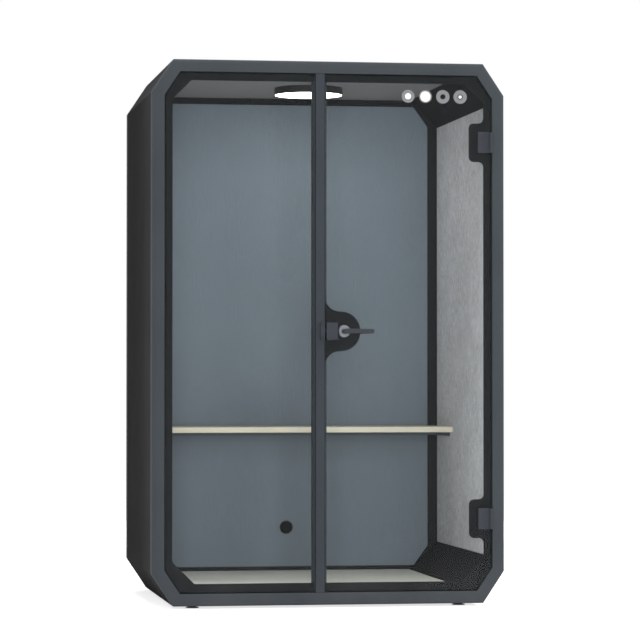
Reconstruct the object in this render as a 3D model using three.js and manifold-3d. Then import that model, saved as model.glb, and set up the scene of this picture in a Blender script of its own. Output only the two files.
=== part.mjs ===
// Acoustic office pod: a free-standing booth with cut corners, a glazed front and a hinged glass door.
// Millimetres, +Z up, x to the right seen from the front. Inside the booth group y = 0 is the front plane.
import * as THREE from "three";
import { mergeVertices } from "three/addons/utils/BufferGeometryUtils.js";
import Module from "manifold-3d";

const wasm = await Module();
wasm.setup();

// Overall size of the shell, and the cut corners of its section
const WIDTH = 1500;
const DEPTH = 1200;
const HEIGHT = 2300;
const FOOT_GAP = 12; // from the ground to the underside of the shell
const OUTER_CUT_X = 90;
const OUTER_CUT_Z = 135;
const FIT = 0.3; // gap between pieces that seat on each other
const ROUND_STEPS = 24; // facets of a small round piece
const SAME_POINT = 1e-4; // corners nearer than this are one

// Cabin: how far its lining lies inside the shell
const WALL = 72;
const CEILING_DROP = 56;
const FLOOR_RISE = 76;
const CABIN_CUT = 125;
const REAR_WALL = 85;
const SKIN = 1.5; // outer sheet
const LINING = 12; // felt board
const COVER = 3; // sheet over the inner corners
const CARPET = 8;
const DECK = 18;

// Portal frames at the front and the back: an open channel with a rounded outer edge
const FRAME_FACE = 52;
const FRAME_DEPTH = 70;
const FRAME_WALL = 4;
const FRAME_ROUND = 14;
const FRAME_ROUND_STEPS = 4;
const FRAME_EASE = 1.5;
const REVEAL = 4; // black plate behind the glass

// Glazing
const GLASS = 10;
const GLASS_RECESS = 12;
const GLASS_GAP = 5;
const SEAL = 6;
const SEAL_WIDTH = 5;
const SEAL_LAP = 1; // from the edge of the glass to the seal
const MULLION_X = -41;
const MULLION_FACE = 38;
const MULLION_FLANGE = 11;
const MULLION_REAR = 30;
const MULLION_EASE = 1.5;

// Back trim, desk and cable entry
const TRIM = 4;
const TRIM_SIDE = 45; // width of the trim at the walls, below the ceiling and above the carpet
const TRIM_TOP = 30;
const TRIM_BOTTOM = 18;
const TRIM_CUT_X = 65;
const TRIM_CUT_Z = 90;
const DESK_TOP_Z = 747;
const DESK_DEPTH = 360;
const DESK_BOARD = 25;
const DESK_ROUND = 3;
const RAIL = 3;
const RAIL_LEG = 18;
const RAIL_SETBACK = 60;
const GROMMET_X = -24;
const GROMMET_Z = 284;
const GROMMET_RADIUS = 25;
const GROMMET_FLANGE = 5;
const GROMMET_PROUD = 4;
const GROMMET_WALL = 3;

// Patch hinges
const HINGE_DROP = 335; // from the top of the shell to the middle of the upper hinge
const HINGE_RISE = 357; // from the underside of the shell to the middle of the lower hinge
const HINGE_HEIGHT = 90;
const HINGE_WIDTH = 55;
const BACK_PLATE_WIDTH = 30;
const BACK_PLATE = 5;
const KNUCKLE_RADIUS = 6.5;
const KNUCKLE_MIDDLE = 34;
const KNUCKLE_END = 26;
const PIN_RADIUS = 3;
const PIN_PLAY = 0.4;
const PIN_CAP = 2.5;
const PIN_CAP_RADIUS = 5;
const LEAF = 3;
const LEAF_DEPTH = 24;
const HINGE_EASE = 2;

// Lock, latch and levers
const SPINDLE_Z = 1162;
const SPINDLE_SIDE = 8;
const SPINDLE_HOLE = 12;
const CASE_MARGIN = 1; // from the free edge of the glass to the lock case
const CASE_WIDTH = 48;
const CASE_HEIGHT = 73;
const CASE_PROUD = 14;
const CASE_ROUND = 5;
const NECK_HEIGHT = 30;
const BOSS_RIM = 2; // boss round the rosette
const BOSS_PROUD = 4;
const ROSETTE_RADIUS = 26;
const ROSETTE_MARGIN = 1.5; // from the lock case to the rosette
const ROSETTE = 8;
const KEEP_WIDTH = 18;
const KEEP_MARGIN = 1;
const BOLT_WIDTH = 8;
const BOLT_HEIGHT = 16;
const BOLT_LENGTH = 30;
const BOLT_BEVEL = 3;
const BOLT_THROW = 12;
const HANDLE_PROUD = 52;
const LEVER_LENGTH = 122;
const LEVER_HEIGHT = 22;
const LEVER_THICK = 12;
const LEVER_TIP_HEIGHT = 18;
const LEVER_TIP_THICK = 10;
const LEVER_END_HEIGHT = 11; // flat at either end of the bar
const LEVER_END_THICK = 6;
const LEVER_NECK = 9;
const LEVER_PLAY = 0.4;
const INNER_LEVER_REACH = 40; // from the inner face of the glass to the lever

// Ceiling lamp
const LAMP_RADIUS = 150;
const LAMP_HEIGHT = 32;
const LAMP_WALL = 3;
const LAMP_DOME = 5;
const LAMP_DOME_STEPS = 3;
const BOARD_RADIUS = 118;
const BOARD = 2;

// Ventilation: one fan under the roof at each top corner
const FAN_SIDE = 80;
const FAN_THICK = 25;
const FAN_ROUND = 4;
const FAN_BORE = 37.5;
const FAN_STRUT = 4;
const FAN_STRUTS = 4;
const FAN_BACK = 3;
const HUB_RADIUS = 14;
const SHAFT_RADIUS = 2;
const SHAFT_PLAY = 0.4;
const BLADES = 7;
const BLADE_TIP_GAP = 1.5;
const BLADE = 1.6;
const BLADE_STATIONS = 4;
const BLADE_ROOT_PITCH = 48;
const BLADE_TIP_PITCH = 28;
const ROTOR_GAP = 2;
const SLOT = 5;
const SLOT_PITCH = 9.5;
const SLOT_LENGTH = 66;
const ROOF_SLOTS = 7;
const COVER_SLOTS = 9;
const COVER_SLOT_PITCH = 16;

// Light switch on the left wall
const SWITCH_SIDE = 86;
const SWITCH_PROUD = 9;
const SWITCH_Y = 600;
const SWITCH_Z = 1100;
const SWITCH_ROUND = 6;
const BUTTON_SIDE = 50;
const BUTTON_PROUD = 3;
const BUTTON_TRAVEL = 2;
const BUTTON_DEPTH = 5;

// Base frame and levelling feet
const BASE_MARGIN = 60; // from the end of the flat underside to the base frame
const BASE_MEMBER = 60;
const BASE_BAYS = 3;
const PAD_RADIUS = 28;
const PAD = 6;
const NUT_RADIUS = 11;
const STUD_RADIUS = 6;
const STUD_LENGTH = 40;
const STUD_PLAY = 0.4;

// Finishes
const finish = (color, roughness, metalness = 0) =>
  new THREE.MeshStandardMaterial({ color, roughness, metalness });
const FRAME_PAINT = finish(0x4c5155, 0.5, 0.3);
const SKIN_PAINT = finish(0x333436, 0.55, 0.3);
const BLACK_PAINT = finish(0x2a2c2f, 0.6, 0.2);
const WALL_FELT = finish(0x97989c, 0.95);
const CEILING_FELT = finish(0x5c5c5f, 0.95);
const BACK_FELT = finish(0x69727b, 0.9);
const WOOL = finish(0x77787a, 1);
const CARPET_PILE = finish(0x99978f, 1);
const PLYWOOD = finish(0xb89b72, 0.7);
const OAK = finish(0xcbb893, 0.55);
const STEEL = finish(0x8d9094, 0.4, 0.9);
const CHROME = finish(0xc4c8cc, 0.15, 1);
const RUBBER = finish(0x1d1e20, 0.85);
const PLASTIC = finish(0x2e3033, 0.6);
const OPAL = finish(0xf3f1ea, 0.4);
const CLEAR_GLASS = new THREE.MeshStandardMaterial({
  color: 0xdbe4e4,
  roughness: 0.05,
  transparent: true,
  opacity: 0.25,
});

// Solids and booleans

function toSolid(geometry) {
  const bare = new THREE.BufferGeometry();
  const source = geometry.index ? geometry.toNonIndexed() : geometry;
  bare.setAttribute("position", source.getAttribute("position"));
  const merged = mergeVertices(bare, SAME_POINT);
  return new wasm.Manifold(
    new wasm.Mesh({
      numProp: 3,
      vertProperties: merged.attributes.position.array,
      triVerts: new Uint32Array(merged.index.array),
    }),
  );
}

function toGeometry(solid) {
  const mesh = solid.getMesh();
  const geometry = new THREE.BufferGeometry();
  geometry.setAttribute("position", new THREE.BufferAttribute(mesh.vertProperties, 3));
  geometry.setIndex(new THREE.BufferAttribute(mesh.triVerts, 1));
  return geometry;
}

const join = (first, ...rest) =>
  toGeometry(rest.reduce((solid, next) => solid.add(toSolid(next)), toSolid(first)));
const cut = (body, ...tools) =>
  toGeometry(tools.reduce((solid, tool) => solid.subtract(toSolid(tool)), toSolid(body)));

// Turns a closed surface's faces round if they point inwards.
function facingOut(geometry) {
  const p = geometry.getAttribute("position");
  const index = geometry.index.array;
  const [a, b, c] = [new THREE.Vector3(), new THREE.Vector3(), new THREE.Vector3()];
  let volume = 0;
  for (let i = 0; i < index.length; i += 3) {
    a.fromBufferAttribute(p, index[i]);
    b.fromBufferAttribute(p, index[i + 1]);
    c.fromBufferAttribute(p, index[i + 2]);
    volume += a.dot(b.cross(c));
  }
  if (volume < 0) geometry.setIndex(Array.from(index).reverse());
  return geometry;
}

// Closed surface through rings of equally many points, with flat ends, or joined into a loop.
function loft(rings, looped = false) {
  const count = rings[0].length;
  const index = [];
  const spans = looped ? rings.length : rings.length - 1;
  for (let r = 0; r < spans; r++) {
    const here = r * count;
    const there = ((r + 1) % rings.length) * count;
    for (let i = 0; i < count; i++) {
      const next = (i + 1) % count;
      index.push(here + i, here + next, there + next, here + i, there + next, there + i);
    }
  }
  const last = (rings.length - 1) * count;
  for (let i = 1; !looped && i < count - 1; i++) {
    index.push(0, i + 1, i, last, last + i, last + i + 1);
  }
  const geometry = new THREE.BufferGeometry();
  geometry.setAttribute("position", new THREE.Float32BufferAttribute(rings.flat(2), 3));
  geometry.setIndex(index);
  return facingOut(geometry);
}

// Outlines

const polygon = (points, holes = []) => {
  const shape = new THREE.Shape(points.map(([x, y]) => new THREE.Vector2(x, y)));
  shape.holes = holes;
  return shape;
};
const rectangle = (left, right, low, high) =>
  polygon([
    [left, low],
    [right, low],
    [right, high],
    [left, high],
  ]);

function roundedRectangle(left, right, low, high, radius) {
  const shape = new THREE.Shape();
  shape.moveTo(left + radius, low);
  shape.lineTo(right - radius, low);
  shape.absarc(right - radius, low + radius, radius, -Math.PI / 2, 0);
  shape.lineTo(right, high - radius);
  shape.absarc(right - radius, high - radius, radius, 0, Math.PI / 2);
  shape.lineTo(left + radius, high);
  shape.absarc(left + radius, high - radius, radius, Math.PI / 2, Math.PI);
  shape.lineTo(left, low + radius);
  shape.absarc(left + radius, low + radius, radius, Math.PI, 1.5 * Math.PI);
  return shape;
}

const circle = (x, y, radius) => {
  const shape = new THREE.Shape();
  shape.absarc(x, y, radius, 0, 2 * Math.PI);
  return shape;
};

// Extrusions along one axis. The outline's two directions are (x, z), (x, y) and (y, z).
const extruded = (shape, depth) =>
  new THREE.ExtrudeGeometry(shape, { depth, bevelEnabled: false, curveSegments: ROUND_STEPS / 2 });
const prismY = (shape, from, to) =>
  extruded(shape, to - from).rotateX(Math.PI / 2).translate(0, to, 0);
const prismZ = (shape, from, to) => extruded(shape, to - from).translate(0, 0, from);
const prismX = (shape, from, to) =>
  extruded(shape, to - from).rotateZ(Math.PI / 2).rotateY(Math.PI / 2).translate(from, 0, 0);
const block = (x0, x1, y0, y1, z0, z1) =>
  new THREE.BoxGeometry(x1 - x0, y1 - y0, z1 - z0).translate(
    (x0 + x1) / 2,
    (y0 + y1) / 2,
    (z0 + z1) / 2,
  );
const rodZ = (radius, from, to) =>
  new THREE.CylinderGeometry(radius, radius, to - from, ROUND_STEPS)
    .rotateX(Math.PI / 2)
    .translate(0, 0, (from + to) / 2);
const rodY = (radius, from, to) =>
  new THREE.CylinderGeometry(radius, radius, to - from, ROUND_STEPS).translate(0, (from + to) / 2, 0);

// Revolves an outline of (radius, height) about +Z.
function revolve(points, steps = ROUND_STEPS) {
  const outline = points.map(([r, z]) => new THREE.Vector2(r, z));
  const turned = new THREE.LatheGeometry(outline, steps).rotateX(Math.PI / 2);
  const bare = new THREE.BufferGeometry();
  bare.setAttribute("position", turned.toNonIndexed().getAttribute("position"));
  return facingOut(mergeVertices(bare, SAME_POINT));
}
const revolveY = (points, steps) => revolve(points, steps).rotateX(-Math.PI / 2);

// Sections of the booth

const OUTER = {
  half: WIDTH / 2,
  low: FOOT_GAP,
  high: HEIGHT,
  cutX: OUTER_CUT_X,
  cutZ: OUTER_CUT_Z,
};
const CABIN = {
  half: WIDTH / 2 - WALL,
  low: FOOT_GAP + FLOOR_RISE,
  high: HEIGHT - CEILING_DROP,
  cutX: CABIN_CUT,
  cutZ: CABIN_CUT,
};
const TRIM_HOLE = {
  half: CABIN.half - TRIM_SIDE,
  low: CABIN.low + TRIM_BOTTOM,
  high: CABIN.high - TRIM_TOP,
  cutX: TRIM_CUT_X,
  cutZ: TRIM_CUT_Z,
};

// Corners of a section moved inwards by `inset`, anticlockwise from the left end of the bottom side.
function octagon(section, inset = 0) {
  const slope = Math.atan2(section.cutZ, section.cutX);
  const flat = section.half - section.cutX - inset * Math.tan(slope / 2);
  const rise = section.cutZ + inset * Math.tan((Math.PI / 2 - slope) / 2);
  const side = section.half - inset;
  const low = section.low + inset;
  const high = section.high - inset;
  return [
    [-flat, low],
    [flat, low],
    [side, section.low + rise],
    [side, section.high - rise],
    [flat, high],
    [-flat, high],
    [-side, section.high - rise],
    [-side, section.low + rise],
  ];
}

// The part of an octagon right of x, or left of it.
function rightOf(corners, x) {
  return [[x, corners[1][1]], ...corners.slice(1, 5), [x, corners[4][1]]];
}
function leftOf(corners, x) {
  return [corners[0], [x, corners[0][1]], [x, corners[5][1]], ...corners.slice(5)];
}

const SIDES = ["bottom", "bottomRight", "right", "topRight", "top", "topLeft", "left", "bottomLeft"];

// Board over one or more sides of a section, between two insets, with mitred ends half a fit short.
function sideBoard(section, firstSide, sides, near, far, from, to) {
  const first = SIDES.indexOf(firstSide);
  const pick = (corners) =>
    Array.from({ length: sides + 1 }, (_, i) => corners[(first + i) % corners.length]);
  const pulled = (points) => {
    const toward = (a, b) => {
      const length = Math.hypot(b[0] - a[0], b[1] - a[1]);
      return [0, 1].map((k) => a[k] + ((b[k] - a[k]) / length) * (FIT / 2));
    };
    const start = toward(points[0], points[1]);
    const end = toward(points[sides], points[sides - 1]);
    return [start, ...points.slice(1, sides), end];
  };
  const outside = pulled(pick(octagon(section, near)));
  const inside = pulled(pick(octagon(section, far)));
  return prismY(polygon([...outside, ...inside.reverse()]), from, to);
}

// Ring through a list of [section, inset, y], all the way round.
const ringOf = (stations) =>
  loft(
    stations.map(([section, inset, y]) => octagon(section, inset).map(([x, z]) => [x, y, z])),
    true,
  );

// Places that several pieces share
const REVEAL_Y = GLASS_RECESS + GLASS + SEAL + 2 * FIT;
const SKIN_FRONT = FRAME_DEPTH + FIT;
const SKIN_BACK = DEPTH - FRAME_DEPTH - FIT;
const LINING_FRONT = REVEAL_Y + REVEAL + FIT;
const LINING_BACK = DEPTH - REVEAL_Y - SKIN - FIT;
const REAR_FACE_Y = DEPTH - REAR_WALL;
const TRIM_Y = REAR_FACE_Y - FIT - TRIM;
const GLASS_BACK = GLASS_RECESS + GLASS;
const GLASS_INSET = FRAME_FACE + GLASS_GAP;
const MULLION_LEFT = MULLION_X - MULLION_FACE / 2;
const MULLION_RIGHT = MULLION_X + MULLION_FACE / 2;
const DOOR_EDGE = MULLION_RIGHT + GLASS_GAP;
const CASE_LEFT = DOOR_EDGE + CASE_MARGIN;
const CASE_RIGHT = CASE_LEFT + CASE_WIDTH;
const SPINDLE_X = CASE_RIGHT + ROSETTE_MARGIN + ROSETTE_RADIUS;
const JAMB_X = WIDTH / 2 - FRAME_FACE;
const HINGE_X = JAMB_X - FIT - KNUCKLE_RADIUS;
const HINGE_Y = -FIT - KNUCKLE_RADIUS;
const FLAT_HALF = CABIN.half - CABIN_CUT;
const DECK_TOP = CABIN.low - CARPET - FIT;
const BASE_HALF = WIDTH / 2 - OUTER_CUT_X - BASE_MARGIN;
const BASE_LOW = FOOT_GAP + SKIN + FIT;
const BASE_HIGH = DECK_TOP - DECK - FIT;
const FAN_X = (FLAT_HALF + WIDTH / 2 - OUTER_CUT_X) / 2;
const FAN_Z = HEIGHT - SKIN - FIT - FAN_THICK;
const MIDDLE_Y = DEPTH / 2;
const BOLT_Y = -CASE_PROUD / 2;

// Scene graph: the booth stands with its front plane set so that the whole part is centred over the origin.
const pod = new THREE.Group();
const booth = new THREE.Group();
booth.position.y = (HANDLE_PROUD - DEPTH) / 2;
pod.add(booth);

function piece(group, name, geometry, material) {
  const mesh = new THREE.Mesh(geometry, material);
  mesh.name = name;
  group.add(mesh);
  return mesh;
}

// Shell

// Section of a portal frame as (inset from the outline, depth from its face).
function frameProfile() {
  const corner = (radius) =>
    Array.from({ length: FRAME_ROUND_STEPS + 1 }, (_, i) => {
      const turn = (i / FRAME_ROUND_STEPS) * (Math.PI / 2);
      return [FRAME_ROUND - radius * Math.cos(turn), FRAME_ROUND - radius * Math.sin(turn)];
    });
  return [
    [0, FRAME_DEPTH],
    ...corner(FRAME_ROUND),
    [FRAME_FACE - FRAME_EASE, 0],
    [FRAME_FACE, FRAME_EASE],
    [FRAME_FACE, REVEAL_Y - FIT],
    [FRAME_FACE - FRAME_WALL, REVEAL_Y - FIT],
    [FRAME_FACE - FRAME_WALL, FRAME_WALL],
    ...corner(FRAME_ROUND - FRAME_WALL).reverse(),
    [FRAME_WALL, FRAME_DEPTH],
  ];
}

function addFrames() {
  const profile = frameProfile();
  const front = profile.map(([inset, y]) => [OUTER, inset, y]);
  const rear = profile.map(([inset, y]) => [OUTER, inset, DEPTH - y]);
  piece(booth, "front_frame", ringOf(front), FRAME_PAINT);
  piece(booth, "rear_frame", ringOf(rear), FRAME_PAINT);
  const plateEdge = FRAME_WALL + FIT;
  const reveal = ringOf([
    [OUTER, plateEdge, REVEAL_Y],
    [CABIN, 0, REVEAL_Y],
    [CABIN, 0, REVEAL_Y + REVEAL],
    [OUTER, plateEdge, REVEAL_Y + REVEAL],
  ]);
  piece(booth, "reveal_plate", reveal, BLACK_PAINT);
  const rearSheet = polygon(octagon(OUTER, plateEdge));
  piece(booth, "rear_skin", prismY(rearSheet, DEPTH - REVEAL_Y - SKIN, DEPTH - REVEAL_Y), SKIN_PAINT);
}

function ventSlots(x, z0, z1) {
  return Array.from({ length: ROOF_SLOTS }, (_, i) => {
    const y = MIDDLE_Y + (i - (ROOF_SLOTS - 1) / 2) * SLOT_PITCH;
    return block(x - SLOT_LENGTH / 2, x + SLOT_LENGTH / 2, y - SLOT / 2, y + SLOT / 2, z0, z1);
  });
}

function addSkins() {
  const skin = (first, sides) => sideBoard(OUTER, first, sides, 0, SKIN, SKIN_FRONT, SKIN_BACK);
  piece(booth, "right_skin", skin("bottomRight", 3), SKIN_PAINT);
  piece(booth, "left_skin", skin("topLeft", 3), SKIN_PAINT);
  const through = [HEIGHT - 2 * SKIN, HEIGHT + SKIN];
  const roof = cut(skin("top", 1), ...ventSlots(FAN_X, ...through), ...ventSlots(-FAN_X, ...through));
  piece(booth, "roof_skin", roof, SKIN_PAINT);
  const holes = footPlaces().map(([x, y]) =>
    rodZ(STUD_RADIUS + STUD_PLAY, 0, BASE_LOW + SKIN).translate(x, y, 0),
  );
  piece(booth, "base_pan", cut(skin("bottom", 1), ...holes), SKIN_PAINT);
}

function addCores() {
  const inner = CABIN.half + LINING + FIT;
  const outer = WIDTH / 2 - SKIN - FIT;
  const low = CABIN.low + CABIN_CUT;
  const high = CABIN.high - CABIN_CUT;
  piece(booth, "right_core", block(inner, outer, SKIN_FRONT, SKIN_BACK, low, high), WOOL);
  piece(booth, "left_core", block(-outer, -inner, SKIN_FRONT, SKIN_BACK, low, high), WOOL);
  const over = CABIN.high + LINING + FIT;
  const under = HEIGHT - SKIN - FIT;
  piece(booth, "roof_core", block(-FLAT_HALF, FLAT_HALF, SKIN_FRONT, SKIN_BACK, over, under), WOOL);
  const plug = polygon(octagon(CABIN, FIT));
  piece(booth, "rear_core", prismY(plug, REAR_FACE_Y + LINING + FIT, LINING_BACK), WOOL);
}

// Cabin lining

function addLining() {
  const board = (first, thick) => sideBoard(CABIN, first, 1, 0, -thick, LINING_FRONT, LINING_BACK);
  piece(booth, "left_felt", board("left", LINING), WALL_FELT);
  piece(booth, "right_felt", board("right", LINING), WALL_FELT);
  piece(booth, "ceiling_felt", board("top", LINING), CEILING_FELT);
  piece(booth, "bottom_left_cover", board("bottomLeft", COVER), BLACK_PAINT);
  piece(booth, "bottom_right_cover", board("bottomRight", COVER), BLACK_PAINT);
  const top = (first, side) => cut(board(first, COVER), ...coverSlots(side));
  piece(booth, "top_left_cover", top("topLeft", -1), BLACK_PAINT);
  piece(booth, "top_right_cover", top("topRight", 1), BLACK_PAINT);
}

// Air slots through a slanted corner cover, side 1 on the right and -1 on the left.
function coverSlots(side) {
  const middle = [CABIN.half - CABIN_CUT / 2, CABIN.high - CABIN_CUT / 2];
  return Array.from({ length: COVER_SLOTS }, (_, i) => {
    const y = MIDDLE_Y + (i - (COVER_SLOTS - 1) / 2) * COVER_SLOT_PITCH;
    const half = SLOT_LENGTH / 2;
    return block(-half, half, -SLOT / 2, SLOT / 2, -2 * COVER, 2 * COVER)
      .rotateY((side * Math.PI) / 4)
      .translate(side * middle[0], y, middle[1]);
  });
}

function addBackPanel() {
  const hole = circle(GROMMET_X, GROMMET_Z, GROMMET_RADIUS + FIT);
  const panel = polygon(octagon(CABIN, FIT), [hole]);
  piece(booth, "back_panel", prismY(panel, REAR_FACE_Y, REAR_FACE_Y + LINING), BACK_FELT);
  const trim = ringOf([
    [CABIN, FIT, TRIM_Y],
    [TRIM_HOLE, 0, TRIM_Y],
    [TRIM_HOLE, 0, TRIM_Y + TRIM],
    [CABIN, FIT, TRIM_Y + TRIM],
  ]);
  piece(booth, "back_trim", trim, BLACK_PAINT);
  const edge = GROMMET_RADIUS + GROMMET_FLANGE;
  const bore = GROMMET_RADIUS - GROMMET_WALL;
  const grommet = revolveY([
    [0, LINING - GROMMET_WALL],
    [bore, LINING - GROMMET_WALL],
    [bore, -FIT - GROMMET_PROUD],
    [edge - GROMMET_WALL, -FIT - GROMMET_PROUD],
    [edge, -FIT - GROMMET_PROUD / 2],
    [edge, -FIT],
    [GROMMET_RADIUS, -FIT],
    [GROMMET_RADIUS, LINING],
    [0, LINING],
  ]);
  piece(booth, "cable_grommet", grommet, RUBBER).position.set(GROMMET_X, REAR_FACE_Y, GROMMET_Z);
}

function addFloor() {
  const half = FLAT_HALF - FIT;
  const low = CABIN.low - CARPET;
  piece(booth, "carpet", block(-half, half, LINING_FRONT, LINING_BACK, low, CABIN.low), CARPET_PILE);
  const deck = block(-half, half, LINING_FRONT, LINING_BACK, DECK_TOP - DECK, DECK_TOP);
  piece(booth, "floor_deck", deck, PLYWOOD);
  const bay = (2 * BASE_HALF - (BASE_BAYS + 1) * BASE_MEMBER) / BASE_BAYS;
  const [near, far] = [SKIN_FRONT + BASE_MEMBER, SKIN_BACK - BASE_MEMBER];
  const bays = Array.from({ length: BASE_BAYS }, (_, i) => {
    const left = -BASE_HALF + BASE_MEMBER + i * (bay + BASE_MEMBER);
    return block(left, left + bay, near, far, 0, DECK_TOP);
  });
  const studs = footPlaces().map(([x, y]) =>
    rodZ(STUD_RADIUS + STUD_PLAY, 0, DECK_TOP).translate(x, y, 0),
  );
  const slab = block(-BASE_HALF, BASE_HALF, SKIN_FRONT, SKIN_BACK, BASE_LOW, BASE_HIGH);
  piece(booth, "base_frame", cut(slab, ...bays, ...studs), PLYWOOD);
}

function footPlaces() {
  const x = BASE_HALF - BASE_MEMBER / 2;
  const front = SKIN_FRONT + BASE_MEMBER / 2;
  const back = SKIN_BACK - BASE_MEMBER / 2;
  return [
    [-x, front],
    [x, front],
    [-x, back],
    [x, back],
  ];
}

function addFeet() {
  const names = ["front_left_foot", "front_right_foot", "rear_left_foot", "rear_right_foot"];
  const neck = FOOT_GAP - FIT;
  const foot = [
    [0, 0],
    [PAD_RADIUS, 0],
    [PAD_RADIUS, PAD / 2],
    [NUT_RADIUS, PAD],
    [NUT_RADIUS, neck],
    [STUD_RADIUS, neck],
    [STUD_RADIUS, STUD_LENGTH],
    [0, STUD_LENGTH],
  ];
  footPlaces().forEach(([x, y], i) => {
    piece(booth, names[i], revolve(foot), PLASTIC).position.set(x, y, 0);
  });
}

// Front: mullion, glass and seals

function addFront() {
  const eased = (half, front, back) => [
    [MULLION_X - half + MULLION_EASE, front],
    [MULLION_X + half - MULLION_EASE, front],
    [MULLION_X + half, front + MULLION_EASE],
    [MULLION_X + half, back],
    [MULLION_X - half, back],
    [MULLION_X - half, front + MULLION_EASE],
  ];
  const face = MULLION_FACE / 2;
  const bar = prismZ(
    polygon(eased(face, 0, REVEAL_Y - FIT)),
    FOOT_GAP + FRAME_FACE + FIT,
    HEIGHT - FRAME_FACE - FIT,
  );
  const [low, high] = [CABIN.low + FIT, CABIN.high - FIT];
  const web = prismZ(polygon(eased(face, 0, REVEAL_Y + MULLION_REAR)), low, high);
  const wide = face + MULLION_FLANGE;
  const flange = prismZ(
    rectangle(MULLION_X - wide, MULLION_X + wide, REVEAL_Y, REVEAL_Y + MULLION_REAR),
    low,
    high,
  );
  piece(booth, "mullion", join(bar, web, flange), FRAME_PAINT);
  const pane = polygon(leftOf(octagon(OUTER, GLASS_INSET), MULLION_LEFT - GLASS_GAP));
  piece(booth, "fixed_glass", prismY(pane, GLASS_RECESS, GLASS_BACK), CLEAR_GLASS);
  const sealFrom = GLASS_GAP + SEAL_LAP;
  const sealTo = sealFrom + SEAL_WIDTH;
  const loop = (side, mullionEdge, way) => {
    const outline = (lap) => side(octagon(OUTER, FRAME_FACE + lap), mullionEdge + way * lap);
    const ring = polygon(outline(sealFrom), [polygon(outline(sealTo))]);
    return prismY(ring, GLASS_BACK + FIT, GLASS_BACK + FIT + SEAL);
  };
  piece(booth, "fixed_glass_gasket", loop(leftOf, MULLION_LEFT, -1), RUBBER);
  piece(booth, "door_seal", loop(rightOf, MULLION_RIGHT, 1), RUBBER);
}

// Door

const door = new THREE.Group();
door.position.set(HINGE_X, HINGE_Y, 0);
booth.add(door);

// Adds a piece that is drawn in the booth's own places to a group that sits somewhere else in it.
function pieceOn(group, name, geometry, material) {
  const offset = booth.worldToLocal(group.getWorldPosition(new THREE.Vector3()));
  return piece(group, name, geometry.translate(-offset.x, -offset.y, -offset.z), material);
}

function addDoorGlass() {
  const hole = circle(SPINDLE_X, SPINDLE_Z, SPINDLE_HOLE);
  const pane = polygon(rightOf(octagon(OUTER, GLASS_INSET), DOOR_EDGE), [hole]);
  pieceOn(door, "door_glass", prismY(pane, GLASS_RECESS, GLASS_BACK), CLEAR_GLASS);
}

// Barrel of a hinge leaf or clamp, about the hinge axis.
const knuckle = (z0, z1) => rodZ(KNUCKLE_RADIUS, z0, z1).translate(HINGE_X, HINGE_Y, 0);

function addHinge(prefix, z) {
  const half = HINGE_HEIGHT / 2;
  const middle = KNUCKLE_MIDDLE / 2;
  const end = middle + FIT + KNUCKLE_END;
  const bore = rodZ(PIN_RADIUS + PIN_PLAY, z - half, z + half).translate(HINGE_X, HINGE_Y, 0);
  const leafRight = JAMB_X - FIT;
  const leafLeft = leafRight - LEAF;
  const plate = block(leafLeft, leafRight, FRAME_EASE, LEAF_DEPTH, z - half, z + half);
  const tongue = block(leafLeft, leafRight, HINGE_Y, FRAME_EASE + LEAF, z - middle, z + middle);
  const leaf = cut(join(plate, tongue, knuckle(z - middle, z + middle)), bore);
  piece(booth, prefix + "_hinge_leaf", leaf, FRAME_PAINT);

  const clampRight = HINGE_X;
  const clampLeft = clampRight - HINGE_WIDTH;
  const front = prismZ(
    polygon([
      [clampLeft + HINGE_EASE, 0],
      [clampRight, 0],
      [clampRight, GLASS_RECESS - FIT],
      [clampLeft, GLASS_RECESS - FIT],
      [clampLeft, HINGE_EASE],
    ]),
    z - half,
    z + half,
  );
  const webLeft = HINGE_X - KNUCKLE_RADIUS;
  const ends = [
    [z - end, z - middle - FIT],
    [z + middle + FIT, z + end],
  ].flatMap(([z0, z1]) => [knuckle(z0, z1), block(webLeft, HINGE_X, HINGE_Y, FRAME_EASE, z0, z1)]);
  pieceOn(door, prefix + "_hinge_clamp", cut(join(front, ...ends), bore), FRAME_PAINT);

  const back = GLASS_BACK + FIT;
  const backPlate = prismY(
    roundedRectangle(clampLeft, clampLeft + BACK_PLATE_WIDTH, z - half, z + half, HINGE_EASE),
    back,
    back + BACK_PLATE,
  );
  pieceOn(door, prefix + "_hinge_back_plate", backPlate, FRAME_PAINT);

  const cap = end + FIT;
  const pin = revolve([
    [0, -cap - PIN_CAP],
    [PIN_CAP_RADIUS, -cap - PIN_CAP],
    [PIN_CAP_RADIUS, -cap],
    [PIN_RADIUS, -cap],
    [PIN_RADIUS, cap],
    [PIN_CAP_RADIUS, cap],
    [PIN_CAP_RADIUS, cap + PIN_CAP],
    [0, cap + PIN_CAP],
  ]);
  piece(door, prefix + "_hinge_pin", pin, STEEL).position.z = z;
}

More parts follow.
